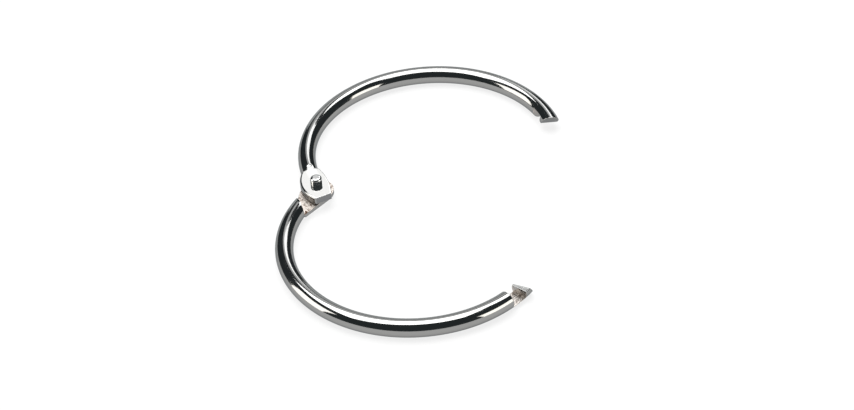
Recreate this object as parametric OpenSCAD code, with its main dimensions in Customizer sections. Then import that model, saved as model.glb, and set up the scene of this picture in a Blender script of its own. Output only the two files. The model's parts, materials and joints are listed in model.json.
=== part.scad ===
// Hinged loose-leaf binder ring: two half rings of round steel wire, riveted together at one end
// and latched at the other. It lies flat and stands open. Millimetres, +Z up.

/* [Ring] */
// Clear inside diameter of the closed ring
inner_d = 50; // [38:1:76]
// Diameter of the round wire
wire_d = 3.8; // [3.4:0.1:4.4]
// Opening angle between the two halves, as the ring lies
opening = 68; // [3:1:120]

/* [Hinge rivet] */
// Diameter of the rivet's shank
rivet_d = 2.5; // [2:0.1:3]
// How far the shank stands proud of the upper ear
rivet_proud = 1.6; // [0.4:0.1:2.4]
// Bevel round the free end of the shank
rivet_bevel = 0.45; // [0.1:0.05:0.7]
// Diameter of the rivet's flat head, under the lower ear
rivet_head_d = 4.6; // [4:0.1:5.6]
// How far the rivet's axis lies outside the wire's centre-line
rivet_offset = 0.45; // [0:0.05:0.8]
// Radial clearance of the shank in the lower ear, which turns on it
shank_clearance = 0.05; // [0.02:0.01:0.1]

/* [Ears] */
// Depth of the upper ear's flat below the crown of the wire
upper_coin = 0.15; // [0.05:0.05:0.4]
// Depth of the lower ear's flat above the underside of the wire
lower_coin = 0.65; // [0.5:0.05:0.8]
// Gap between the two ears, and between the lower ear and the rivet's head
ear_gap = 0.2; // [0.1:0.02:0.3]
// Radius of the roll round the edge of an ear's flat
ear_edge = 0.45; // [0.2:0.05:0.5]
// Reach of the upper ear outside the rivet's axis
leaf_out = 3.4; // [3.2:0.05:4]
// Reach of the upper ear inside the rivet's axis
leaf_in = 2.75; // [2.4:0.05:3.2]
// Distance from the rivet's axis to the upper ear's cut end
leaf_end = 4.6; // [4.2:0.05:4.9]
// Distance from the rivet's axis to the upper ear's furthest corner
leaf_corner = 5.1; // [4.95:0.05:5.2]
// Reach of the lower ear outside the rivet's axis
lug_out = 3.15; // [2.8:0.05:3.6]
// Reach of the lower ear inside the rivet's axis, which is also the radius of its round end
lug_in = 3.55; // [3.2:0.05:4]
// Distance from the rivet's axis to where the lower ear grows out of the wire
lug_root = 8.3; // [7.5:0.1:9]
// Length of the coined flat on the wire, from the rivet's axis
flat_len = 5.4; // [5:0.1:6]
// Distance from the rivet's axis to the shoulder where the whole wire starts
shoulder = 5.35; // [5.3:0.05:6]
// Slant of the shoulder across the wire
shoulder_slant = 27; // [0:1:35]

/* [Clasp] */
// Length of each half's catch, from its shoulder to its furthest point
catch_len = 6.1; // [5.6:0.05:7.2]
// Gap at each end of a hook when the ring is closed
catch_gap = 0.35; // [0.2:0.05:0.5]
// Height of each hook's lip past the middle of the wire
hook_lip = 0.7; // [0.4:0.05:0.9]
// Gap between a hook's lip and the neck that it lies on when the ring is closed
lip_gap = 0.2; // [0.1:0.05:0.3]
// Slope of each nose, by which one hook rides over the other, from upright
nose_ramp = 34; // [20:1:38]
// Slant of each nose across the wire
nose_slant = 10; // [0:1:15]
// Wire length by which the upper half runs past the point across from the hinge
upper_past = 0; // [-2:0.1:2]
// Wire length by which the lower half stops short of the point across from the hinge
lower_short = 2.9; // [1:0.1:5]

/* [Hidden] */
$fn = 96;

wire_r = wire_d / 2;
rivet_r = rivet_d / 2;
ring_r = (inner_d + wire_d) / 2;            // centre-line radius of each half
centre_x = ring_r + rivet_offset;           // from the rivet's axis to a half's centre
mm_deg = 180 / (PI * ring_r);               // degrees of ring for each millimetre of wire
half_open = opening / 2;

upper_face = wire_r - upper_coin;           // height of the upper ear's flat
lower_face = wire_r - lower_coin;           // depth of the lower ear's flat
lap = ear_gap / 2;                          // each ear's distance from the middle of the wire
leaf_out_r = 8.5;                           // radii of the two curved edges of the upper ear
leaf_in_r = 15.8;
leaf_out_y = -0.8;                          // and how far along the ear each bulges most
leaf_in_y = 2.2;
root_deg = 3;                               // the wire starts this far inside its ear
ramp_r = 3;                                 // run-out of a coined flat into the wire
far = 14;                                   // past everything near the hinge or the clasp

head_top = lower_face + ear_gap / 2;        // depth of the head's upper side
head_low = wire_r - 0.05;                   // depth of its underside, just clear of the table
rivet_top = upper_face + rivet_proud;

upper_end = 180 + upper_past * mm_deg;      // ring angles where the whole wire stops
lower_end = 180 - lower_short * mm_deg;
catch_deg = catch_len * mm_deg;
neck_deg = catch_deg / 2 + catch_gap * mm_deg;      // takes the other's hook, with its two gaps
blank_deg = catch_deg + 5;                  // wire that the nose is cut from
past_deg = catch_deg + 10;                  // long enough to run a cut out past that wire
neck_face = hook_lip + lip_gap;             // height of the neck's level face over the middle

// The open ring's box runs from the outer bends of the wire to the upper half's nose.
function nose_reach(turn) = wire_r * (cos(turn) * tan(nose_slant)
    - (1 - sin(turn)) * tan(nose_ramp) / cos(nose_slant));
nose_polar = half_open + 180 - upper_end - catch_deg;
nose_right = max([for (turn = [0:5:90]) (ring_r + wire_r * cos(turn)) * cos(nose_polar)
    + nose_reach(turn) * sin(nose_polar)]);
box_left = centre_x * cos(half_open) - ring_r - wire_r;
box_right = centre_x * cos(half_open) + (nose_polar > 0 ? nose_right : ring_r + wire_r);

// The origin is on the table under the middle of that box. In a half's own frame the rivet is on
// the Z axis, the centre of its circle is on +X, its wire leaves the hinge towards +Y and its ear
// is in the upper layer. The lower half lies turned over.
module as_laid() translate([-(box_left + box_right) / 2, 0, wire_r]) children();
module as_upper() as_laid() rotate(half_open) children();
module as_lower() as_laid() rotate(-half_open) rotate([180, 0, 0]) children();

// At a ring angle counted from the hinge: X points out of the ring, -Y on along the wire.
module at_ring(angle) translate([centre_x, 0, 0]) rotate(180 - angle)
    translate([ring_r, 0, 0]) children();

module wire(to) translate([centre_x, 0, 0]) rotate(180 - to)
    rotate_extrude(angle = to - root_deg) translate([ring_r, 0]) circle(wire_r);

// Section through the edge of an ear, whose outer face rolls over into its side.
module edge_section(reach, face, back = 0) {
    translate([-back, lap]) square([back + reach, face - lap - ear_edge]);
    translate([-back, lap]) square([back + reach - ear_edge, face - lap]);
    translate([reach - ear_edge, face - ear_edge]) circle(ear_edge);
}
module round_plate(reach, face) rotate_extrude() edge_section(reach, face);
module straight_plate(reach, face, length) rotate([90, 0, 0])
    linear_extrude(length) edge_section(reach, face, far);

// The bowed outer edge that both ears have.
module outer_edge(reach, face) translate([leaf_out_r - reach, leaf_out_y, 0])
    round_plate(leaf_out_r, face);

// Upper ear: a leaf with a straight cut end.
module leaf() intersection() {
    outer_edge(leaf_out, upper_face);
    translate([leaf_in - leaf_in_r, leaf_in_y, 0]) round_plate(leaf_in_r, upper_face);
    round_plate(leaf_corner, upper_face);
    translate([-far, -leaf_end, -far]) cube(2 * far);
}

// Lower ear: a lug with a straight inner edge and a round end.
module lug() intersection() {
    outer_edge(lug_out, lower_face);
    union() {
        round_plate(lug_in, lower_face);
        translate([0, lug_root, 0]) straight_plate(lug_in, lower_face, lug_root);
    }
}

// What the press and the cutter take off the hinge end of either half.
module hinge_cuts(face, bore_r) {
    translate([-far, -far, face]) cube([2 * far, far + flat_len, far]);
    translate([-far, flat_len, face + ramp_r]) rotate([0, 90, 0]) cylinder(r = ramp_r, h = 2 * far);
    rotate(shoulder_slant) translate([-far, -far, lap - far]) cube([2 * far, far + shoulder, far]);
    translate([0, 0, -far]) cylinder(r = bore_r, h = 2 * far);
}

// A cut across the wire, up to a level face, that runs on from one ring angle for some degrees.
module arc_cut(start, degrees, level) translate([centre_x, 0, 0]) rotate(180 - start)
    mirror([0, 1, 0]) rotate_extrude(angle = degrees)
        translate([ring_r - far, -far]) square([2 * far, far + level]);

// What is cut off beyond a catch's sloping nose, whose furthest point is on the crown of the wire.
module nose_cut(angle) at_ring(angle) translate([0, 0, wire_r]) rotate([nose_ramp, 0, -nose_slant])
    translate([-far, -far, -far]) cube([2 * far, far, 2 * far]);

// What makes a catch of the wire past a shoulder: a neck that is left above its level face, and a
// hook at its end with the lip hanging below it.
module catch_cuts(shoulder_angle) {
    arc_cut(shoulder_angle, past_deg, -hook_lip);
    arc_cut(shoulder_angle, neck_deg, neck_face);
    nose_cut(shoulder_angle + catch_deg);
}

module upper_half_ring() color([0.80, 0.80, 0.78]) as_upper() difference() {
    union() {
        wire(upper_end + blank_deg);
        leaf();
    }
    hinge_cuts(upper_face, rivet_r);
    catch_cuts(upper_end);
}

module lower_half_ring() color([0.80, 0.80, 0.78]) as_lower() difference() {
    union() {
        wire(lower_end + blank_deg);
        lug();
    }
    hinge_cuts(lower_face, rivet_r + shank_clearance);
    catch_cuts(lower_end);
}

module hinge_rivet() color([0.66, 0.66, 0.65]) as_laid() rotate_extrude() polygon([
    [0, -head_low], [rivet_head_d / 2, -head_low], [rivet_head_d / 2, -head_top],
    [rivet_r, -head_top], [rivet_r, rivet_top - rivet_bevel],
    [rivet_r - rivet_bevel, rivet_top], [0, rivet_top]]);

upper_half_ring();
lower_half_ring();
hinge_rivet();
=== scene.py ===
"""A hinged binder ring, lying open on a pale table in soft studio light."""

import json
import logging
import math
from collections.abc import Callable, Sequence
from dataclasses import dataclass, field
from enum import Enum

import bmesh
import bpy
import numpy as np
from mathutils import Matrix, Vector


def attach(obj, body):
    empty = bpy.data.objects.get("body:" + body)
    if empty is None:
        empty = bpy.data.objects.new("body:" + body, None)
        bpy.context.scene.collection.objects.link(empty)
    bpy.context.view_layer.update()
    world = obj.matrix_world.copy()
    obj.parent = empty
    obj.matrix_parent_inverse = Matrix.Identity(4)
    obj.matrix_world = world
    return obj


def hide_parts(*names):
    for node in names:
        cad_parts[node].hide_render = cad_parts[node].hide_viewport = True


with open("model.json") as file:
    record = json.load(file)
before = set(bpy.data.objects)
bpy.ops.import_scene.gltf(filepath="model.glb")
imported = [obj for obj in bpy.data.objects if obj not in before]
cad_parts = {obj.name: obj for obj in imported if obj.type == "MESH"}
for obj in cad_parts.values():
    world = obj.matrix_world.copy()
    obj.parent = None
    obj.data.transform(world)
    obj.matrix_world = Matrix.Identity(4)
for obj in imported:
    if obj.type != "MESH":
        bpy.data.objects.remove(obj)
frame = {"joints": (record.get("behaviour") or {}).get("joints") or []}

MM = 0.001
# Points closer than this, in metres, are one.
WELD = 2e-6
# Distance in millimetres that a section keeps from an edge.
HAIR = 0.002
# Points round each section of wire, and sections over a rolled edge.
SIDES = 160
EDGE_STEPS = 5
SHARP_ANGLE = math.radians(32)
# What the ears and the catches share with their neighbours, in millimetres.
RIVET_RADIUS = 1.25
SHANK_CLEARANCE = 0.05
LOWER_SHORT = 2.9
log = logging.getLogger("binder_ring")

Reach = Callable[[np.ndarray, np.ndarray], tuple[np.ndarray, np.ndarray, np.ndarray]]
Solid = Callable[[np.ndarray, np.ndarray, np.ndarray], np.ndarray]


def rolled(a: np.ndarray, b: np.ndarray, roll: float) -> np.ndarray:
    """Cut one solid by another and roll the edge between them over.

    Args:
        a: Distance outside the first solid.
        b: Distance outside the second.
        roll: Radius of the rolled edge.

    Returns:
        Distance outside what both solids share.
    """
    deep = np.minimum(np.maximum(a, b), -roll)
    return deep + np.hypot(np.maximum(a + roll, 0.0), np.maximum(b + roll, 0.0))


def blended(a: np.ndarray, b: np.ndarray, width: np.ndarray) -> np.ndarray:
    """Join two solids and let them flow into each other over some width."""
    return np.minimum(a, b) - np.maximum(width - np.abs(a - b), 0.0) ** 2 / (4.0 * width)


def smooth(value: np.ndarray | float, low: float, high: float) -> np.ndarray | float:
    """Rise gently from 0 at the low value to 1 at the high one."""
    t = np.clip((value - low) / (high - low), 0.0, 1.0)
    return t * t * (3.0 - 2.0 * t)


def crowded(steps: int) -> list[float]:
    """Give shares from 0 to 1 that lie close together near 0, as on a quarter of a circle."""
    return [1 - math.cos(k * math.pi / (2 * steps)) for k in range(steps + 1)]


class Lay(Enum):
    """How a half lies: as it was made, or turned over."""

    UPPER = 1
    LOWER = -1


@dataclass(frozen=True)
class Wire:
    """The round wire, bent to a circle. All sizes of the ring are in millimetres.

    A half's own frame has the hinge's axis on Z, the centre of the circle on +X, and the wire
    leaving the hinge towards +Y. Across the wire, x points out of the ring and z up.
    """

    radius: float = 1.9
    bend: float = 26.9
    hinge_offset: float = 0.45

    @property
    def centre(self) -> float:
        """Distance from the hinge's axis to the centre of the circle."""
        return self.bend + self.hinge_offset

    def skin(self, u: np.ndarray, v: np.ndarray, z: np.ndarray) -> np.ndarray:
        """Measure how far points lie outside the surface of the wire."""
        return np.hypot(np.hypot(u - self.centre, v) - self.bend, z) - self.radius

    def along(self, u: np.ndarray, v: np.ndarray) -> np.ndarray:
        """Measure how far along the wire points lie, from the hinge."""
        turn = np.mod(np.arctan2(v, self.centre - u) + 1.0, 2 * math.pi) - 1.0
        return self.bend * turn

    def at(self, x: np.ndarray, turn: np.ndarray) -> tuple[np.ndarray, np.ndarray]:
        """Place points by their reach out of the ring and their angle round it, in radians."""
        return self.centre - (self.bend + x) * np.cos(turn), (self.bend + x) * np.sin(turn)


@dataclass(frozen=True)
class Section:
    """One slice across a half: where it lies, a point inside it and where its parts meet."""

    reach: Reach
    inside: tuple[float, float]
    split: int
    rays: int = 1440
    furthest: float = 6.0
    halvings: int = 30

    def trace(self, solid: Solid) -> tuple[np.ndarray, np.ndarray]:
        """Find the outline by walking out from the point inside it.

        Args:
            solid: Distance outside the half at any point.

        Returns:
            The outline's x and z, anticlockwise.
        """
        angle = np.arange(self.rays) * (2 * math.pi / self.rays)
        cos, sin = np.cos(angle), np.sin(angle)
        low, high = np.zeros(self.rays), np.full(self.rays, self.furthest)
        x0, z0 = self.inside
        for _ in range(self.halvings):
            middle = (low + high) / 2
            full = solid(*self.reach(x0 + middle * cos, z0 + middle * sin)) < 0
            low, high = np.where(full, middle, low), np.where(full, high, middle)
        return x0 + low * cos, z0 + low * sin

    def ring(self, solid: Solid, wire: Wire) -> np.ndarray:
        """Share the section's points round its outline, closer together on tight bends.

        Args:
            solid: Distance outside the half at any point.
            wire: The wire that the half is made of.

        Returns:
            The points' x and z, one row each.
        """
        x, z = self.trace(solid)
        level = wire.radius * math.sin(2 * math.pi * self.split / SIDES)
        above = z >= level
        up = int(np.nonzero(~above & np.roll(above, -1))[0][0])
        x, z, above = (np.roll(row, -up) for row in (x, z, above))
        down = int(np.nonzero(above[1:] & ~np.roll(above, -1)[1:])[0][0]) + 1
        x, z = np.append(x, x[0]), np.append(z, z[0])

        def crossing(k: int) -> np.ndarray:
            """Find where the outline crosses the level after its point k."""
            share = (level - z[k]) / (z[k + 1] - z[k])
            return np.array([x[k] + share * (x[k + 1] - x[k]), level])

        right, left = crossing(0), crossing(down)
        line = np.stack((x, z), axis=1)
        top = np.vstack((right, line[1:down + 1], left))
        bottom = np.vstack((left, line[down + 1:], right))
        count = SIDES // 2 - 2 * self.split
        return np.vstack((share_out(top, count), share_out(bottom, SIDES - count)))


def share_out(line: np.ndarray, count: int, bend_weight: float = 1.2) -> np.ndarray:
    """Put a number of points on a line, closer together where it bends.

    Args:
        line: The line's points, one row each.
        count: How many points to make. The line's last point isn't among them.
        bend_weight: Length that a bend of one radian counts for.

    Returns:
        The new points.
    """
    step = np.diff(line, axis=0)
    length = np.hypot(step[:, 0], step[:, 1])
    way = np.unwrap(np.arctan2(step[:, 1], step[:, 0]))
    turn = np.abs(np.diff(way))
    weight = length.copy()
    weight[1:] += bend_weight * turn / 2
    weight[:-1] += bend_weight * turn / 2
    run = np.concatenate(([0.0], np.cumsum(weight)))
    wanted = np.arange(count) * (run[-1] / count)
    return np.stack([np.interp(wanted, run, line[:, i]) for i in (0, 1)], axis=1)


@dataclass(frozen=True)
class Ear:
    """What both ears have: coined flat on the outer side, cut flat on the lap.

    The plate flows into the wire over a width: the outer blend outside the ring's centre-line, up
    to the height blend_full and gone at blend_none, and the inner blend everywhere else.
    """

    wire: Wire
    face: float
    reach_out: float
    reach_in: float
    tail: float
    lap: float = 0.1
    roll: float = 0.45
    bow: float = 8.5
    bow_back: float = -0.8
    wire_start: float = 1.4
    outer_blend: float = 0.3
    inner_blend: float = 0.3
    blend_full: float = 0.5
    blend_none: float = 1.6
    outer_share: float = 0.6
    flat_length: float = 5.4
    run_out: float = 3.0
    coin_edge: float = 0.08
    shoulder: float = 5.35
    shoulder_slant: float = 27.0
    shoulder_edge: float = 0.08
    pressed_past: float = 0.5
    pressed_fade: float = 0.4
    split: int = 3
    junction: float = 14.0
    settle: float = 1.5
    centred_from: float = 2.5
    tail_zone: float = 0.5
    tail_steps: int = 10
    plate_step: float = 0.2
    root_zone: float = 1.8
    root_steps: int = 18
    blend_zone: float = 3.0
    fine_step: float = 0.1
    wire_step: float = 0.4
    halvings: int = 40

    def plan(self, u: np.ndarray, v: np.ndarray, z: np.ndarray) -> np.ndarray:
        """Measure how far points lie outside the ear's plate, rolled edges and all."""
        raise NotImplementedError

    def outer_edge(self, u: np.ndarray, v: np.ndarray) -> np.ndarray:
        """Measure how far points lie outside the bowed outer edge."""
        return np.hypot(u - (self.bow - self.reach_out), v - self.bow_back) - self.bow

    def coin_height(self, v: np.ndarray) -> np.ndarray:
        """Give the height of the coined flat, and of its run-out into the wire."""
        past = np.clip(v - self.flat_length, 0.0, self.run_out)
        return self.face + self.run_out - np.sqrt(self.run_out ** 2 - past ** 2)

    def shoulder_depth(self, u: np.ndarray, v: np.ndarray) -> np.ndarray:
        """Measure how far points lie before the shoulder, where the whole wire starts."""
        slant = math.radians(self.shoulder_slant)
        return self.shoulder + u * math.sin(slant) - v * math.cos(slant)

    def lap_cut(self, u: np.ndarray, v: np.ndarray, z: np.ndarray) -> np.ndarray:
        """Measure how far points lie inside what the cutter takes off the lap."""
        return np.minimum(self.lap - z, self.shoulder_depth(u, v))

    def solid(self, u: np.ndarray, v: np.ndarray, z: np.ndarray) -> np.ndarray:
        """Measure how far points lie outside the hinge end of the half.

        Args:
            u, v, z: Points in the half's own frame, in millimetres.

        Returns:
            Their distances outside it, below 0 within.
        """
        wire = np.maximum(self.wire.skin(u, v, z), self.wire_start - self.wire.along(u, v))
        outer = np.clip((self.wire.hinge_offset - u) / self.wire.radius + self.outer_share, 0.0, 1.0)
        outer = outer * (1.0 - smooth(np.abs(z), self.blend_full, self.blend_none))
        blend = self.inner_blend + (self.outer_blend - self.inner_blend) * outer
        body = blended(wire, self.plan(u, v, z), blend)
        body = rolled(body, z - self.coin_height(v), self.coin_edge)
        return rolled(body, self.lap_cut(u, v, z), self.shoulder_edge)

    def shoulder_place(self) -> float:
        """Find how far along the wire's centre-line the shoulder lies.

        Returns:
            The place, in millimetres from the hinge.
        """
        low, high = 0.0, self.junction
        for _ in range(self.halvings):
            middle = (low + high) / 2
            u, v = self.wire.at(0.0, middle / self.wire.bend)
            low, high = (middle, high) if self.shoulder_depth(u, v) > 0 else (low, middle)
        return low

    def section(self, place: float) -> Section:
        """Lay a section across the half.

        Args:
            place: How far along the wire it crosses the centre-line.

        Returns:
            The section. It lies along the shoulder there, and square to the wire further on.
        """
        middle = self.shoulder_place()
        turn = max(place, 0.0) / self.wire.bend
        slant = -math.radians(self.shoulder_slant)
        if place < middle:
            lie = slant * smooth(place, 0.0, middle)
        else:
            lie = slant + (turn - slant) * smooth(place, middle, self.junction - self.settle)
        u0, v0 = self.wire.at(0.0, turn)
        v0 += min(place, 0.0)

        def reach(x: np.ndarray, z: np.ndarray) -> tuple[np.ndarray, np.ndarray, np.ndarray]:
            """Place the section's points in the half's own frame."""
            return u0 - x * math.cos(lie), v0 + x * math.sin(lie), z

        centred = (self.reach_out - self.reach_in) / 2 + self.wire.hinge_offset
        x0 = centred * (1.0 - smooth(place, self.centred_from, middle))
        return Section(reach, (x0, (self.lap + self.face) / 2), self.split)

    def places(self) -> list[float]:
        """List where the sections lie, closer together where the form changes fast.

        Returns:
            Their places along the wire, from the ear's tail to the plain wire.
        """
        end, middle = HAIR - self.tail, self.shoulder_place()
        root = middle - self.root_zone
        tail = [end + self.tail_zone * share for share in crowded(self.tail_steps)]
        plate = list(np.arange(tail[-1] + self.plate_step, root - self.fine_step, self.plate_step))
        before = list(np.linspace(root, middle - HAIR, self.root_steps))
        edge = [middle + HAIR + self.shoulder_edge * share for share in crowded(EDGE_STEPS)]
        past = middle + 2 * self.shoulder_edge
        after = list(np.arange(past, middle + self.blend_zone, self.fine_step))
        run = list(np.arange(after[-1] + 3 * self.fine_step, self.junction, self.wire_step))
        return tail + plate + before + edge + after + run + [self.junction]

    def rings(self) -> list[np.ndarray]:
        """Trace the hinge end, from its tail to the plain wire."""
        rings = traced(self)
        return cap(rings[0])[::-1] + rings

    def masks(self, u: np.ndarray, v: np.ndarray, z: np.ndarray) -> tuple[np.ndarray, ...]:
        """Find the coined flat (painted highlight), the cut surfaces and the ear's end face (painted
        shade).

        Args:
            u, v, z: Points on the half's surface.

        Returns:
            How far each point is on the coined flat, cut and on the end face, from 0 to 1.
        """
        pressed = np.clip((self.flat_length + self.pressed_past - v) / self.pressed_fade, 0.0, 1.0)
        coined = near_zero(z - self.coin_height(v)) * pressed
        # In the material the coined mask carries a painted highlight and the end-face mask carries
        # painted shade.
        return coined, near_zero(self.lap_cut(u, v, z)), near_zero(self.tail + v)


@dataclass(frozen=True)
class UpperEar(Ear):
    """The upper ear: a leaf with a straight cut end."""

    face: float = 1.75
    reach_out: float = 3.4
    reach_in: float = 2.75
    tail: float = 4.6
    corner: float = 5.1
    outer_blend: float = 0.8
    inner_bow: float = 15.8
    inner_forward: float = 2.2
    inner_roll: float = 0.2
    end_edge: float = 0.06

    def plan(self, u: np.ndarray, v: np.ndarray, z: np.ndarray) -> np.ndarray:
        """Measure how far points lie outside the leaf.

        Args:
            u, v, z: Points in the half's own frame, in millimetres.

        Returns:
            Their distances outside it, below 0 within.
        """
        inner = np.hypot(u - (self.reach_in - self.inner_bow), v - self.inner_forward) - self.inner_bow
        over = z - self.face
        plate = rolled(self.outer_edge(u, v), over, self.roll)
        plate = np.maximum(plate, rolled(inner, over, self.inner_roll))
        plate = np.maximum(plate, rolled(np.hypot(u, v) - self.corner, over, self.inner_roll))
        return rolled(plate, -self.tail - v, self.end_edge)


@dataclass(frozen=True)
class LowerEar(Ear):
    """The lower ear: a lug with a straight inner edge and a round end."""

    face: float = 1.25
    reach_out: float = 3.15
    reach_in: float = 3.55
    tail: float = 3.55
    root: float = 8.3

    def plan(self, u: np.ndarray, v: np.ndarray, z: np.ndarray) -> np.ndarray:
        """Measure how far points lie outside the lug.

        Args:
            u, v, z: Points in the half's own frame, in millimetres.

        Returns:
            Their distances outside it, below 0 within.
        """
        strip = np.maximum(np.maximum(u - self.reach_in, v - self.root), -v)
        inner = np.minimum(np.hypot(u, v) - self.reach_in, strip)
        over = z - self.face
        return np.maximum(rolled(self.outer_edge(u, v), over, self.roll), rolled(inner, over, self.roll))


@dataclass(frozen=True)
class Catch:
    """The clasp end of a half: a neck past a shoulder, and a hook with a sloping nose."""

    wire: Wire
    shoulder: float
    length: float = 6.1
    gap: float = 0.35
    lip: float = 0.7
    lip_gap: float = 0.2
    ramp: float = 34.0
    slant: float = 10.0
    edge: float = 0.1
    nose_edge: float = 0.16
    split: int = 15
    core: float = 1.3
    lead: float = 3.0
    lead_steps: int = 8
    neck_steps: int = 12
    hook_steps: int = 10
    hook_stop: float = 1.5
    nose_zone: float = 1.2
    dulled: float = 0.6

    @property
    def neck(self) -> float:
        """Length of the neck."""
        return self.length / 2 + self.gap

    def drop(self, x: np.ndarray, z: np.ndarray) -> np.ndarray:
        """Give how far the nose lies past its crown, along the wire."""
        ramp, slant = math.radians(self.ramp), math.radians(self.slant)
        return x * math.tan(slant) - (self.wire.radius - z) * math.tan(ramp) / math.cos(slant)

    def kept(self, u: np.ndarray, v: np.ndarray, z: np.ndarray) -> np.ndarray:
        """Measure how far points lie outside the whole wire, the neck and the hook together.

        Args:
            u, v, z: Points in the half's own frame, in millimetres.

        Returns:
            Their distances outside it, below 0 within.
        """
        past = self.wire.along(u, v) - self.shoulder
        hook = rolled(self.neck - past, -self.lip - z, self.edge)
        return np.minimum(np.minimum(past, self.lip + self.lip_gap - z), hook)

    def nose(self, u: np.ndarray, v: np.ndarray, z: np.ndarray) -> np.ndarray:
        """Measure how far points lie beyond the nose's face.

        Args:
            u, v, z: Points in the half's own frame, in millimetres.

        Returns:
            Their distances beyond it, below 0 on the hook's side.
        """
        turn = (self.shoulder + self.length) / self.wire.bend
        ramp, slant = math.radians(self.ramp), math.radians(self.slant)
        u0, v0 = self.wire.at(0.0, turn)
        out = -(u - u0) * math.cos(turn) + (v - v0) * math.sin(turn)
        on = (u - u0) * math.sin(turn) + (v - v0) * math.cos(turn)
        return (on * math.cos(slant) * math.cos(ramp) - out * math.sin(slant) * math.cos(ramp)
                - (z - self.wire.radius) * math.sin(ramp))

    def solid(self, u: np.ndarray, v: np.ndarray, z: np.ndarray) -> np.ndarray:
        """Measure how far points lie outside the clasp end of the half."""
        body = rolled(self.wire.skin(u, v, z), self.kept(u, v, z), self.edge)
        return rolled(body, self.nose(u, v, z), self.nose_edge)

    def section(self, place: float) -> Section:
        """Lay a section across the half.

        Args:
            place: How far past the shoulder it crosses the crown of the wire.

        Returns:
            The section. It is square to the wire up to the hook, then leans over to the nose.
        """
        lean = max(place - self.neck - self.edge, 0.0) / (self.length - self.neck - self.edge)
        turn = (self.shoulder + place) / self.wire.bend

        def reach(x: np.ndarray, z: np.ndarray) -> tuple[np.ndarray, np.ndarray, np.ndarray]:
            """Place the section's points in the half's own frame."""
            angle = turn + lean * np.arctan2(self.drop(x, z), self.wire.bend + x)
            return *self.wire.at(x, angle), z

        return Section(reach, (0.0, self.core), self.split)

    def places(self) -> list[float]:
        """List where the sections lie, closer together at each edge.

        Returns:
            Their places past the shoulder, from the plain wire to the nose.
        """
        shares = crowded(EDGE_STEPS)
        shares[0] = HAIR / self.edge
        hook_end = self.length - self.hook_stop * self.nose_edge
        lead = list(np.linspace(-self.lead, -2 * self.edge, self.lead_steps))
        first = [-self.edge * share for share in reversed(shares)]
        neck = list(np.linspace(HAIR, self.neck - HAIR, self.neck_steps))
        second = [self.neck + self.edge * share for share in shares]
        hook = list(np.linspace(self.neck + 2 * self.edge, hook_end, self.hook_steps))
        nose = [self.length - self.nose_zone * self.nose_edge * share for share in reversed(shares)]
        return lead + first + neck + second + hook + nose

    def rings(self) -> list[np.ndarray]:
        """Trace the clasp end, from the plain wire to its nose."""
        rings = traced(self)
        return rings + cap(rings[-1])

    def cut_mask(self, u: np.ndarray, v: np.ndarray, z: np.ndarray) -> np.ndarray:
        """Find the cut surfaces, from 0 to 1. The lip's level face and the nose don't count."""
        return near_zero(self.kept(u, v, z)) * (z > self.edge - self.lip)


def near_zero(distance: np.ndarray, full: float = 0.015, none: float = 0.06) -> np.ndarray:
    """Give 1 on a surface, fading to 0 away from it."""
    return np.clip((none - np.abs(distance)) / (none - full), 0.0, 1.0)


def traced(end: Ear | Catch) -> list[np.ndarray]:
    """Trace a worked end of a half, section by section.

    Args:
        end: The ear or the catch.

    Returns:
        Rings of points, in millimetres, in the half's own frame.
    """
    rings = []
    for place in end.places():
        section = end.section(place)
        x, z = section.ring(end.solid, end.wire).T
        rings.append(np.stack(section.reach(x, z), axis=1))
    return rings


def cap(ring: np.ndarray, steps: tuple[float, ...] = (0.7, 0.4, 0.15, 0.0)) -> list[np.ndarray]:
    """Close a flat end with rings that shrink to its middle."""
    middle = ring.mean(axis=0)
    return [middle + (ring - middle) * share for share in steps]


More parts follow.
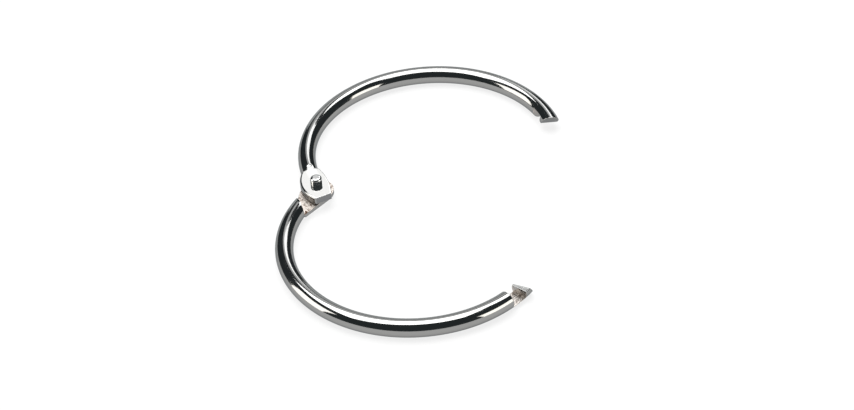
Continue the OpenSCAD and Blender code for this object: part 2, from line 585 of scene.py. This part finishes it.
class NodeBench:
    """A node tree in the making, with short ways to add and link its nodes."""

    def __init__(self, tree: bpy.types.NodeTree) -> None:
        """Take the tree that the nodes go into."""
        self.tree = tree

    def node(self, kind: str, **inputs: object) -> bpy.types.Node:
        """Add a node and set or link its inputs.

        Args:
            kind: The node's type.
            inputs: What goes into each input, by its name with _ for a space.

        Returns:
            The node.
        """
        made = self.tree.nodes.new(kind)
        for name, value in inputs.items():
            self.feed(made.inputs[name.replace("_", " ")], value)
        return made

    def feed(self, socket: bpy.types.NodeSocket, value: object) -> None:
        """Link a socket to another, or set its value.

        Args:
            socket: The input to feed.
            value: An output socket, or a plain value.
        """
        if isinstance(value, bpy.types.NodeSocket):
            self.tree.links.new(value, socket)
        else:
            socket.default_value = value

    def math(self, operation: str, a: object, b: object = 0.0) -> bpy.types.NodeSocket:
        """Add a step of arithmetic.

        Args:
            operation: Its name, such as ADD.
            a: The first value or socket.
            b: The second.

        Returns:
            The socket with the result.
        """
        made = self.tree.nodes.new("ShaderNodeMath")
        made.operation = operation
        self.feed(made.inputs[0], a)
        self.feed(made.inputs[1], b)
        return made.outputs[0]

    def between(self, share: object, low: float, high: float) -> bpy.types.NodeSocket:
        """Give a value between two.

        Args:
            share: How far from the low value to the high one, from 0 to 1.
            low: The value at 0.
            high: The value at 1.

        Returns:
            The socket with the value.
        """
        made = self.node("ShaderNodeMapRange", Value=share)
        self.feed(made.inputs["To Min"], low)
        self.feed(made.inputs["To Max"], high)
        return made.outputs["Result"]

    def ramp(self, value: object, low: float, high: float) -> bpy.types.NodeSocket:
        """Rise gently from 0 at the low value to 1 at the high one.

        Args:
            value: What to read.
            low: Where the rise starts.
            high: Where it ends.

        Returns:
            The socket with the share.
        """
        made = self.node("ShaderNodeMapRange", Value=value)
        made.interpolation_type = "SMOOTHSTEP"
        self.feed(made.inputs["From Min"], low)
        self.feed(made.inputs["From Max"], high)
        return made.outputs["Result"]

    def mix(self, share: object, first: object, second: object) -> bpy.types.NodeSocket:
        """Mix two colours.

        Args:
            share: How much of the second colour, from 0 to 1.
            first: The first colour.
            second: The second.

        Returns:
            The socket with the mixed colour.
        """
        made = self.tree.nodes.new("ShaderNodeMix")
        made.data_type = "RGBA"
        for name, value in (("Factor_Float", share), ("A_Color", first), ("B_Color", second)):
            self.feed(next(i for i in made.inputs if i.identifier == name), value)
        return next(o for o in made.outputs if o.identifier == "Result_Color")

    def attribute(self, name: str, output: str = "Fac") -> bpy.types.NodeSocket:
        """Read a mark that was written on the mesh.

        Args:
            name: The mark's name.
            output: Which of the node's outputs to give.

        Returns:
            The socket with the mark.
        """
        made = self.tree.nodes.new("ShaderNodeAttribute")
        made.attribute_name = name
        return made.outputs[output]

    def stretched(self, place: object, scale: tuple[float, float, float]) -> bpy.types.NodeSocket:
        """Scale a place along each axis.

        Args:
            place: The place.
            scale: The scale along X, Y and Z.

        Returns:
            The socket with the scaled place.
        """
        made = self.node("ShaderNodeMapping", Vector=place)
        made.inputs["Scale"].default_value = scale
        return made.outputs["Vector"]

    def noise(self, place: object, scale: object = 1.0, detail: float = 2.0) -> bpy.types.NodeSocket:
        """Add soft noise, from 0 to 1."""
        return self.node("ShaderNodeTexNoise", Vector=place, Scale=scale, Detail=detail).outputs["Fac"]


class WireRun(NodeBench):
    """Geometry Nodes that sweep the plain stretch of the wire round its circle."""

    def __init__(self) -> None:
        """Build the node tree."""
        super().__init__(bpy.data.node_groups.new("wire_run", "GeometryNodeTree"))
        face = self.tree.interface
        face.new_socket("Geometry", in_out="INPUT", socket_type="NodeSocketGeometry")
        self.sockets = {}
        for name, kind in (
            ("Wire Radius", "Float"), ("Bend Radius", "Float"), ("Hinge Offset", "Float"),
            ("Start Angle", "Float"), ("Sweep", "Float"), ("Steps", "Int"), ("Sides", "Int"),
            ("Finish", "Material"),
        ):
            socket = face.new_socket(name, in_out="INPUT", socket_type="NodeSocket" + kind)
            self.sockets[name] = socket.identifier
        face.new_socket("Geometry", in_out="OUTPUT", socket_type="NodeSocketGeometry")
        self.given = self.tree.nodes.new("NodeGroupInput").outputs
        self.link()

    def link(self) -> None:
        """Wire the tree: a grid wrapped round the wire and along its circle."""
        given = self.given
        grid = self.node("GeometryNodeMeshGrid", Size_X=1.0, Size_Y=1.0,
                         Vertices_X=self.math("ADD", given["Steps"], 1.0),
                         Vertices_Y=self.math("ADD", given["Sides"], 1.0))
        position = self.node("GeometryNodeInputPosition").outputs[0]
        place = self.node("ShaderNodeSeparateXYZ", Vector=position)
        share_on = self.math("ADD", place.outputs["X"], 0.5)
        share_round = self.math("ADD", place.outputs["Y"], 0.5)
        turn = self.math("ADD", given["Start Angle"], self.math("MULTIPLY", share_on, given["Sweep"]))
        roll = self.math("MULTIPLY", share_round, 2 * math.pi)
        out = self.math("ADD", given["Bend Radius"],
                        self.math("MULTIPLY", given["Wire Radius"], self.math("COSINE", roll)))
        centre = self.math("ADD", given["Bend Radius"], given["Hinge Offset"])
        back = self.math("MULTIPLY", out, self.math("COSINE", turn))
        wrapped = self.node("ShaderNodeCombineXYZ", X=self.math("SUBTRACT", centre, back),
                            Y=self.math("MULTIPLY", out, self.math("SINE", turn)),
                            Z=self.math("MULTIPLY", given["Wire Radius"], self.math("SINE", roll)))
        moved = self.node("GeometryNodeSetPosition", Geometry=grid.outputs["Mesh"],
                          Position=wrapped.outputs[0])
        closed = self.node("GeometryNodeMergeByDistance", Geometry=moved.outputs[0], Distance=WELD)
        real = self.node("GeometryNodeRealizeInstances", Geometry=closed.outputs[0])
        dressed = self.node("GeometryNodeSetMaterial", Geometry=real.outputs[0],
                            Material=given["Finish"])
        self.node("NodeGroupOutput", Geometry=dressed.outputs[0])

    def sweep(self, wire: Wire, start: float, stop: float, finish: bpy.types.Material,
              step: float = 0.8) -> bpy.types.Mesh:
        """Make the plain stretch of wire.

        Args:
            wire: The wire.
            start: Where it starts, along the wire from the hinge.
            stop: Where it stops.
            finish: Its material.
            step: Length of each step along it.

        Returns:
            A plain mesh, in metres, in the half's own frame.
        """
        holder = bpy.data.objects.new("wire_run", bpy.data.meshes.new("wire_run"))
        bpy.context.scene.collection.objects.link(holder)
        modifier = holder.modifiers.new("wire_run", "NODES")
        modifier.node_group = self.tree
        for name, value in {
            "Wire Radius": wire.radius * MM, "Bend Radius": wire.bend * MM,
            "Hinge Offset": wire.hinge_offset * MM, "Start Angle": start / wire.bend,
            "Sweep": (stop - start) / wire.bend, "Steps": round((stop - start) / step),
            "Sides": SIDES, "Finish": finish,
        }.items():
            modifier[self.sockets[name]] = value
        bpy.context.view_layer.update()
        graph = bpy.context.evaluated_depsgraph_get()
        mesh = bpy.data.meshes.new_from_object(holder.evaluated_get(graph))
        holder.modifiers.clear()
        bpy.data.objects.remove(holder)
        return mesh


@dataclass
class HalfRing:
    """One half of the ring: an ear, a bent wire and a catch."""

    name: str
    body: str
    lay: Lay
    ear: Ear
    catch: Catch
    bore: float
    wire: Wire
    opening: float = 68.0

    def placing(self) -> Matrix:
        """Give the turn and move from the half's own frame to where it lies.

        Returns:
            The matrix that lays the half on the table.
        """
        over = Matrix.Rotation(math.pi if self.lay is Lay.LOWER else 0.0, 4, "X")
        swing = Matrix.Rotation(self.lay.value * math.radians(self.opening / 2), 4, "Z")
        return Matrix.Translation(hinge_point()) @ swing @ over

    def build(self, run: WireRun, finish: bpy.types.Material) -> bpy.types.Object:
        """Make the half and put it in place of its plain solid.

        Args:
            run: What sweeps the plain stretch of wire.
            finish: The half's material.

        Returns:
            The finished piece.
        """
        work = bmesh.new()
        plain_end = self.catch.shoulder - self.catch.lead
        work.from_mesh(run.sweep(self.wire, self.ear.junction, plain_end, finish))
        for rings in (self.ear.rings(), self.catch.rings()):
            skin_over(work, rings)
        seams = [vert for vert in work.verts if vert.is_boundary]
        bmesh.ops.remove_doubles(work, verts=seams, dist=WELD)
        loose = sum(not edge.is_manifold for edge in work.edges)
        piece = piece_of(work, self.name, finish)
        drill(piece, self.bore * MM)
        self.mark(piece.data)
        piece.data.transform(self.placing())
        piece.data.shade_smooth()
        piece.data.set_sharp_from_angle(angle=SHARP_ANGLE)
        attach(piece, self.body)
        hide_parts(self.name)
        piece.name = self.name + "_finished"
        log.info("%s: %d faces, %d open edges", piece.name, len(piece.data.polygons), loose)
        return piece

    def mark(self, mesh: bpy.types.Mesh) -> None:
        """Write on the mesh where it is coined (painted highlight), cut and on the ear's end face
        (painted shade), and its place along the wire.

        Args:
            mesh: The half's mesh, in its own frame.
        """
        co = np.zeros(len(mesh.vertices) * 3)
        mesh.vertices.foreach_get("co", co)
        u, v, z = co.reshape(-1, 3).T / MM
        along = self.wire.along(u, v)
        coined, cut, tail_shade = self.ear.masks(u, v, z)
        at_hinge = along < self.ear.junction
        at_clasp = along > self.catch.shoulder - self.catch.lead
        # The coined mark carries a painted highlight and the end-face mark painted shade; the cut mark
        # is the real cut steel.
        marks = {
            "coined": coined * at_hinge,
            "tail_shade": tail_shade * at_hinge,
            "cut": cut * at_hinge + self.catch.dulled * self.catch.cut_mask(u, v, z) * at_clasp,
        }
        for name, values in marks.items():
            mark = mesh.attributes.new(name, "FLOAT", "POINT")
            mark.data.foreach_set("value", values.astype(np.float32))
        out = np.hypot(u - self.wire.centre, v) - self.wire.bend
        place = np.stack((out, z, along), axis=1).astype(np.float32)
        mark = mesh.attributes.new("wire_place", "FLOAT_VECTOR", "POINT")
        mark.data.foreach_set("vector", place.ravel())


def hinge_point() -> Vector:
    """Give the point that the halves turn about, level with the middle of the wire."""
    return Vector(frame["joints"][0]["pos_m"])


def skin_over(work: bmesh.types.BMesh, rings: list[Sequence]) -> None:
    """Join rings of points with faces.

    Args:
        work: The mesh to add to.
        rings: The rings, in millimetres, each with as many points.
    """
    rows = [[work.verts.new(Vector(point) * MM) for point in ring] for ring in rings]
    sides = len(rows[0])
    for near, far in zip(rows, rows[1:]):
        for j in range(sides):
            k = (j + 1) % sides
            work.faces.new((near[j], near[k], far[k], far[j]))


def piece_of(work: bmesh.types.BMesh, name: str, finish: bpy.types.Material) -> bpy.types.Object:
    """Make an object of a mesh, with its faces turned outwards.

    Args:
        work: The mesh. It can't be used afterwards.
        name: The object's name.
        finish: Its material.

    Returns:
        The object, in the scene.
    """
    bmesh.ops.recalc_face_normals(work, faces=work.faces)
    mesh = bpy.data.meshes.new(name)
    work.to_mesh(mesh)
    work.free()
    mesh.materials.clear()
    mesh.materials.append(finish)
    piece = bpy.data.objects.new(name, mesh)
    bpy.context.scene.collection.objects.link(piece)
    return piece


def drill(piece: bpy.types.Object, radius: float, depth: float = 10 * MM, segments: int = 96) -> None:
    """Drill the rivet's hole through a piece, on its own Z axis.

    Args:
        piece: The piece.
        radius: The hole's radius, in metres.
        depth: The drill's length.
        segments: How many sides the hole gets.
    """
    tool = bmesh.new()
    bmesh.ops.create_cone(tool, cap_ends=True, segments=segments, radius1=radius, radius2=radius,
                          depth=depth)
    mesh = bpy.data.meshes.new("drill")
    tool.to_mesh(mesh)
    tool.free()
    bit = bpy.data.objects.new("drill", mesh)
    bpy.context.scene.collection.objects.link(bit)
    cut = piece.modifiers.new("bore", "BOOLEAN")
    cut.operation, cut.solver, cut.object = "DIFFERENCE", "EXACT", bit
    graph = bpy.context.evaluated_depsgraph_get()
    drilled = bpy.data.meshes.new_from_object(piece.evaluated_get(graph))
    piece.modifiers.clear()
    piece.data = drilled
    bpy.data.objects.remove(bit)


@dataclass
class HingeRivet:
    """The rivet: a flat head, a shank and a rounded bevel at its free end."""

    shank: float = RIVET_RADIUS
    head: float = 2.3
    head_low: float = 1.85
    head_top: float = 1.35
    top: float = 3.35
    flat: float = 0.6
    crown: float = 0.6
    fullness: float = 2.2
    soft: float = 0.08
    segments: int = 128
    edge_steps: int = 6
    crown_steps: int = 20

    def outline(self) -> list[tuple[float, float]]:
        """Draw the rivet's half section.

        Returns:
            The points' reach and height, from the middle of its head up to the middle of its crown.
        """
        quarter = [k * math.pi / (2 * self.edge_steps) for k in range(self.edge_steps + 1)]
        r, low, high = self.head - self.soft, self.soft - self.head_low, -self.head_top - self.soft
        points = [(0.0, -self.head_low)]
        points += [(r + self.soft * math.sin(a), low - self.soft * math.cos(a)) for a in quarter]
        points += [(r + self.soft * math.cos(a), high + self.soft * math.sin(a)) for a in quarter]
        points += [(self.shank, -self.head_top), (self.shank, self.top - self.crown)]
        share = 2 / self.fullness
        for a in (k * math.pi / (2 * self.crown_steps) for k in range(1, self.crown_steps)):
            points.append((self.flat + (self.shank - self.flat) * math.cos(a) ** share,
                           self.top - self.crown + self.crown * math.sin(a) ** share))
        return points + [(self.flat, self.top), (self.flat / 2, self.top), (0.0, self.top)]

    def build(self, finish: bpy.types.Material) -> bpy.types.Object:
        """Turn the rivet and put it in place of its plain solid.

        Args:
            finish: The rivet's material.

        Returns:
            The finished piece.
        """
        work = bmesh.new()
        turns = [2 * math.pi * k / self.segments for k in range(self.segments)]
        skin_over(work, [[(r * math.cos(a), r * math.sin(a), z) for a in turns]
                         for r, z in self.outline()])
        bmesh.ops.remove_doubles(work, verts=work.verts, dist=WELD)
        piece = piece_of(work, "hinge_rivet_finished", finish)
        piece.data.transform(Matrix.Translation(hinge_point()))
        piece.data.shade_smooth()
        piece.data.set_sharp_from_angle(angle=SHARP_ANGLE)
        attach(piece, "upper_half")
        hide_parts("hinge_rivet")
        log.info("%s: %d faces", piece.name, len(piece.data.polygons))
        return piece


def new_sockets(tree: bpy.types.NodeTree, way: str, sockets: dict[str, object]) -> None:
    """Give a shader group its sockets.

    Args:
        tree: The group.
        way: INPUT or OUTPUT.
        sockets: Each socket's name, with its value, or None for a vector.
    """
    for name, value in sockets.items():
        kind = "NodeSocketVector" if value is None else "NodeSocketFloat"
        socket = tree.interface.new_socket(name, in_out=way, socket_type=kind)
        if value is not None:
            socket.default_value = value


@dataclass(frozen=True)
class MetalGrain:
    """The fine lines and soft waves that drawing and polishing leave in metal."""

    line_scale: float = 9.0
    line_share: float = 0.2
    line_stretch: tuple[float, float, float] = (1.0, 1.0, 0.05)
    line_detail: float = 3.0
    wave_scale: float = 0.5
    wave_detail: float = 1.0
    smudge_stretch: tuple[float, float, float] = (1.0, 1.0, 0.4)
    smudge_scale: float = 0.9
    smudge_detail: float = 4.0
    smudge_span: tuple[float, float] = (0.42, 0.68)

    def build(self) -> bpy.types.NodeTree:
        """Build the group.

        Returns:
            A group that takes a place in millimetres, with Z along the lines, and gives a height
            and a smudge.
        """
        bench = NodeBench(bpy.data.node_groups.new("metal_grain", "ShaderNodeTree"))
        new_sockets(bench.tree, "INPUT", {"Place": None, "Line Scale": self.line_scale,
                                          "Wave Scale": self.wave_scale, "Line Share": self.line_share})
        new_sockets(bench.tree, "OUTPUT", {"Height": 0.0, "Smudge": 0.0})
        given = bench.tree.nodes.new("NodeGroupInput").outputs
        lines = bench.noise(bench.stretched(given["Place"], self.line_stretch), given["Line Scale"],
                            self.line_detail)
        waves = bench.noise(given["Place"], given["Wave Scale"], self.wave_detail)
        height = bench.math("ADD", waves, bench.math("MULTIPLY", lines, given["Line Share"]))
        patches = bench.noise(bench.stretched(given["Place"], self.smudge_stretch), self.smudge_scale,
                              self.smudge_detail)
        bench.node("NodeGroupOutput", Height=height, Smudge=bench.ramp(patches, *self.smudge_span))
        return bench.tree


@dataclass(frozen=True)
class Stain:
    """The brown specks that cut steel gets where its plate is thin."""

    scale: float = 1.3
    detail: float = 4.0
    threshold: float = 0.52
    fade: float = 0.12

    def build(self) -> bpy.types.NodeTree:
        """Build the group.

        Returns:
            A group that takes a place in millimetres and gives a mask.
        """
        bench = NodeBench(bpy.data.node_groups.new("stain", "ShaderNodeTree"))
        new_sockets(bench.tree, "INPUT", {"Place": None, "Scale": self.scale,
                                          "Threshold": self.threshold})
        new_sockets(bench.tree, "OUTPUT", {"Mask": 0.0})
        given = bench.tree.nodes.new("NodeGroupInput").outputs
        cloud = bench.noise(given["Place"], given["Scale"], self.detail)
        full = bench.math("ADD", given["Threshold"], self.fade)
        bench.node("NodeGroupOutput", Mask=bench.ramp(cloud, given["Threshold"], full))
        return bench.tree


class MetalBench(NodeBench):
    """A metal's material in the making."""

    def __init__(self, name: str, edge_tint: tuple[float, float, float]) -> None:
        """Start the material.

        Args:
            name: Its name.
            edge_tint: Tint of what the metal reflects at a flat angle.
        """
        self.material = bpy.data.materials.new(name)
        self.material.use_nodes = True
        super().__init__(self.material.node_tree)
        self.shader = self.tree.nodes["Principled BSDF"].inputs
        self.shader["Metallic"].default_value = 1.0
        self.shader["Specular Tint"].default_value = (*edge_tint, 1.0)

    def group(self, tree: bpy.types.NodeTree, place: bpy.types.NodeSocket) -> bpy.types.NodeOutputs:
        """Put a shader group in the material.

        Args:
            tree: The group.
            place: The place that it reads, in millimetres.

        Returns:
            What the group gives.
        """
        made = self.tree.nodes.new("ShaderNodeGroup")
        made.node_tree = tree
        self.feed(made.inputs["Place"], place)
        return made.outputs

    def emboss(self, height: bpy.types.NodeSocket, strength: float, depth: float) -> None:
        """Raise the surface by a height that changes over it.

        Args:
            height: The height.
            strength: How much of it is seen.
            depth: What a height of 1 comes to, in millimetres.
        """
        bump = self.node("ShaderNodeBump", Height=height, Strength=strength, Distance=depth * MM)
        self.feed(self.shader["Normal"], bump.outputs["Normal"])


@dataclass(frozen=True)
class PlatedWire:
    """Nickel plate: bright on the wire, with a painted highlight on the coined flat and painted shade on
    the ear's end face, dull and stained where it was cut.
    """

    grain: bpy.types.NodeTree
    stain: bpy.types.NodeTree
    plate: tuple[float, float, float] = (0.30, 0.30, 0.295)
    # Near-white tone of the coined flat: a painted highlight standing in for the lamps that the flat
    # mirrors; the flat is the same nickel plate.
    coin_highlight: tuple[float, float, float] = (0.95, 0.94, 0.92)
    # Darker tone of the ear's end face: painted shade standing in for the dark room that the face
    # mirrors.
    tail_shade: tuple[float, float, float] = (0.19, 0.195, 0.20)
    cut: tuple[float, float, float] = (0.61, 0.555, 0.51)
    speck: tuple[float, float, float] = (0.10, 0.055, 0.035)
    edge_tint: tuple[float, float, float] = (0.5, 0.52, 0.53)
    polish: float = 0.07
    smudged: float = 0.12
    cut_roughness: float = 0.3
    tear_stretch: tuple[float, float, float] = (6.0, 6.0, 0.9)
    tear_scale: float = 1.4
    tear_detail: float = 3.0
    tear_height: float = 12.0
    relief: float = 0.5
    relief_depth: float = 0.006

    def make(self) -> bpy.types.Material:
        """Build the material.

        Returns:
            The material of both halves.
        """
        bench = MetalBench("nickel_plated_wire", self.edge_tint)
        place = bench.attribute("wire_place", "Vector")
        cut = bench.attribute("cut")
        grain = bench.group(self.grain, place)
        specks = bench.math("MULTIPLY", bench.group(self.stain, place)["Mask"], cut)
        # The coined flat gets its painted highlight here: its tone is mixed towards near-white.
        tone = bench.mix(bench.attribute("coined"), (*self.plate, 1.0), (*self.coin_highlight, 1.0))
        # The ear's end face is darkened here with painted shade.
        tone = bench.mix(bench.attribute("tail_shade"), tone, (*self.tail_shade, 1.0))
        tone = bench.mix(cut, tone, (*self.cut, 1.0))
        bench.feed(bench.shader["Base Color"], bench.mix(specks, tone, (*self.speck, 1.0)))
        bright = bench.between(grain["Smudge"], self.polish, self.smudged)
        dull = bench.math("MULTIPLY", cut, self.cut_roughness)
        bench.feed(bench.shader["Roughness"], bench.math("ADD", bright, dull))
        tear = bench.noise(bench.stretched(place, self.tear_stretch), self.tear_scale, self.tear_detail)
        torn = bench.math("MULTIPLY", bench.math("MULTIPLY", tear, cut), self.tear_height)
        bench.emboss(bench.math("ADD", grain["Height"], torn), self.relief, self.relief_depth)
        return bench.material


@dataclass(frozen=True)
class RivetSteel:
    """The rivet's plated steel, with the turned rings that its end keeps."""

    grain: bpy.types.NodeTree
    tone: tuple[float, float, float] = (0.55, 0.548, 0.54)
    edge_tint: tuple[float, float, float] = (0.5, 0.52, 0.53)
    polish: float = 0.08
    smudged: float = 0.16
    ring_rate: float = 40.0
    ring_height: float = 0.08
    relief: float = 0.4
    relief_depth: float = 0.006

    def make(self) -> bpy.types.Material:
        """Build the material.

        Returns:
            The rivet's material.
        """
        bench = MetalBench("rivet_steel", self.edge_tint)
        bench.shader["Base Color"].default_value = (*self.tone, 1.0)
        place = bench.node("ShaderNodeTexCoord").outputs["Object"]
        centred = bench.node("ShaderNodeMapping", Vector=place, Scale=(1 / MM,) * 3,
                             Location=-hinge_point() / MM).outputs["Vector"]
        grain = bench.group(self.grain, centred)
        x, y = bench.node("ShaderNodeSeparateXYZ", Vector=centred).outputs[:2]
        far = bench.math("ADD", bench.math("MULTIPLY", x, x), bench.math("MULTIPLY", y, y))
        far = bench.math("MULTIPLY", bench.math("SQRT", far), self.ring_rate)
        rings = bench.math("MULTIPLY", bench.math("SINE", far), self.ring_height)
        bright = bench.between(grain["Smudge"], self.polish, self.smudged)
        bench.feed(bench.shader["Roughness"], bright)
        bench.emboss(bench.math("ADD", grain["Height"], rings), self.relief, self.relief_depth)
        return bench.material


@dataclass
class Camera:
    """The camera, placed by its direction round the ring."""

    azimuth: float = 8.72
    elevation: float = 39.08
    roll: float = -3.55
    distance: float = 492.3 * MM
    lens: float = 99.47
    clip: tuple[float, float] = (0.01, 50.0)
    look_at: Vector = field(default_factory=lambda: Vector((2.245, -3.93, 1.9)) * MM)

    def build(self) -> None:
        """Make the camera and give it to the scene."""
        a, e, r = (math.radians(v) for v in (self.azimuth, self.elevation, self.roll))
        back = Vector((math.sin(a) * math.cos(e), -math.cos(a) * math.cos(e), math.sin(e)))
        level = Vector((math.cos(a), math.sin(a), 0.0))
        upright = back.cross(level)
        right = level * math.cos(r) + upright * math.sin(r)
        data = bpy.data.cameras.new("camera")
        data.lens = self.lens
        data.clip_start, data.clip_end = self.clip
        camera = bpy.data.objects.new("camera", data)
        turn = Matrix((right, back.cross(right), back)).transposed().to_4x4()
        camera.matrix_world = Matrix.Translation(self.look_at + back * self.distance) @ turn
        bpy.context.scene.collection.objects.link(camera)
        bpy.context.scene.camera = camera


def soft_lamp(name: str, size: tuple[float, float], level: float,
              tone: tuple[float, float, float] = (1.0, 1.0, 1.0)) -> bpy.types.Object:
    """Make a soft rectangular lamp.

    Args:
        name: Its name.
        size: Its width and height, in metres.
        level: How bright its face is.
        tone: Its colour.

    Returns:
        The lamp, facing down at the origin.
    """
    data = bpy.data.lights.new(name, "AREA")
    data.shape = "RECTANGLE"
    data.size, data.size_y = size
    data.color = tone
    data.energy = level * math.pi * size[0] * size[1]
    lamp = bpy.data.objects.new(name, data)
    bpy.context.scene.collection.objects.link(lamp)
    return lamp


@dataclass(frozen=True)
class Softbox:
    """A soft lamp, placed by the stretch of sky that it fills."""

    name: str
    azimuth: tuple[float, float]
    elevation: tuple[float, float]
    level: float
    tone: tuple[float, float, float] = (1.0, 1.0, 1.0)
    distance: float = 2.0

    def build(self, facing: float) -> None:
        """Make the lamp, facing the origin.

        Args:
            facing: The direction that its azimuths are counted from, in degrees.
        """
        a = math.radians(sum(self.azimuth) / 2 + facing)
        e = math.radians(sum(self.elevation) / 2)
        wide, tall = (math.tan(math.radians(high - low) / 2)
                      for low, high in (self.azimuth, self.elevation))
        out = Vector((math.sin(a) * math.cos(e), math.cos(a) * math.cos(e), math.sin(e)))
        size = (2 * self.distance * math.cos(e) * wide, 2 * self.distance * tall)
        lamp = soft_lamp(self.name, size, self.level, self.tone)
        lamp.location = out * self.distance
        lamp.rotation_euler = out.to_track_quat("Z", "Y").to_euler()


@dataclass(frozen=True)
class CeilingLamp:
    """A soft lamp in the ceiling. Its corners are counted in heights of the ceiling."""

    name: str
    corner: tuple[float, float]
    far_corner: tuple[float, float]
    level: float

    def build(self, facing: float, height: float) -> None:
        """Make the lamp, facing down.

        Args:
            facing: The direction of its far side, in degrees.
            height: Height of the ceiling.
        """
        (x0, y0), (x1, y1) = self.corner, self.far_corner
        lamp = soft_lamp(self.name, ((x1 - x0) * height, (y1 - y0) * height), self.level)
        middle = Vector(((x0 + x1) / 2, (y0 + y1) / 2, 1.0)) * height
        turn = Matrix.Rotation(math.radians(-facing), 4, "Z")
        lamp.matrix_world = turn @ Matrix.Translation(middle)


@dataclass
class Studio:
    """Pale floor, dark room and soft lamps. Directions are taken from the far side, clockwise."""

    floor_tone: tuple[float, float, float] = (0.9, 0.9, 0.9)
    floor_glow: float = 0.8
    room_tone: tuple[float, float, float] = (0.05, 0.06, 0.064)
    facing: float = -8.72
    reach: float = 12.0
    ceiling: float = 1.5
    ceiling_lamps: tuple[CeilingLamp, ...] = (
        CeilingLamp("overhead", (-0.62, -0.18), (0.34, 0.78), 5.0),
        CeilingLamp("overhead_right", (0.34, 0.25), (0.60, 0.78), 5.0),
    )
    boxes: tuple[Softbox, ...] = (
        Softbox("left", (-108, -73), (-3, 38), 3.6, (1.0, 0.97, 0.92)),
        Softbox("right", (105, 135), (-2, 28), 3.6, (1.0, 0.97, 0.90)),
        Softbox("far", (-11, 4), (30, 50), 1.06),
        Softbox("far_right", (4, 29), (31, 42), 3.6),
        Softbox("far_low", (-16, 12), (15, 30), 0.45),
        Softbox("far_wall", (-24, 16), (0, 15), 1.1, (0.97, 1.0, 1.0), 3.0),
    )

    def floor_paper(self) -> bpy.types.Material:
        """Make the floor's white paper, which glows so that shadows stay light.

        Returns:
            The paper's material.
        """
        material = bpy.data.materials.new("floor_paper")
        material.use_nodes = True
        bench = NodeBench(material.node_tree)
        shader = material.node_tree.nodes["Principled BSDF"]
        shader.inputs["Base Color"].default_value = (*self.floor_tone, 1.0)
        shader.inputs["Roughness"].default_value = 1.0
        shader.inputs["Specular IOR Level"].default_value = 0.0
        seen = bench.node("ShaderNodeLightPath").outputs
        direct = bench.math("ADD", seen["Is Camera Ray"], seen["Is Glossy Ray"])
        direct = bench.math("ADD", direct, seen["Is Transmission Ray"])
        glow = bench.node("ShaderNodeEmission", Strength=1.0)
        blend = bench.node("ShaderNodeMixShader", Fac=bench.math("MULTIPLY", direct, self.floor_glow))
        bench.feed(blend.inputs[1], shader.outputs[0])
        bench.feed(blend.inputs[2], glow.outputs[0])
        bench.feed(material.node_tree.nodes["Material Output"].inputs["Surface"], blend.outputs[0])
        return material

    def build(self) -> None:
        """Lay the floor and hang the lamps."""
        mesh = bpy.data.meshes.new("floor")
        far = self.reach
        corners = [(-far, -far, 0), (far, -far, 0), (far, far, 0), (-far, far, 0)]
        mesh.from_pydata(corners, [], [(0, 1, 2, 3)])
        floor = bpy.data.objects.new("floor", mesh)
        bpy.context.scene.collection.objects.link(floor)
        mesh.materials.append(self.floor_paper())
        world = bpy.data.worlds.new("room")
        world.use_nodes = True
        world.node_tree.nodes["Background"].inputs["Color"].default_value = (*self.room_tone, 1.0)
        bpy.context.scene.world = world
        for lamp in self.ceiling_lamps:
            lamp.build(self.facing, self.ceiling)
        for box in self.boxes:
            box.build(self.facing)


def main() -> None:
    """Build the studio and dress the ring."""
    logging.basicConfig(level=logging.INFO, format="%(message)s")
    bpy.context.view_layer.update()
    Camera().build()
    Studio().build()
    bpy.context.scene.view_settings.view_transform = "Standard"
    wire, run = Wire(), WireRun()
    grain = MetalGrain().build()
    finish = PlatedWire(grain, Stain().build()).make()
    half_turn = math.pi * wire.bend
    upper_catch, lower_catch = Catch(wire, half_turn), Catch(wire, half_turn - LOWER_SHORT)
    loose_bore = RIVET_RADIUS + SHANK_CLEARANCE
    upper = HalfRing("upper_half_ring", "upper_half", Lay.UPPER, UpperEar(wire), upper_catch,
                     RIVET_RADIUS, wire)
    lower = HalfRing("lower_half_ring", "lower_half", Lay.LOWER, LowerEar(wire), lower_catch,
                     loose_bore, wire)
    for half in (upper, lower):
        half.build(run, finish)
    HingeRivet().build(RivetSteel(grain).make())


if __name__ == "__main__":
    main()
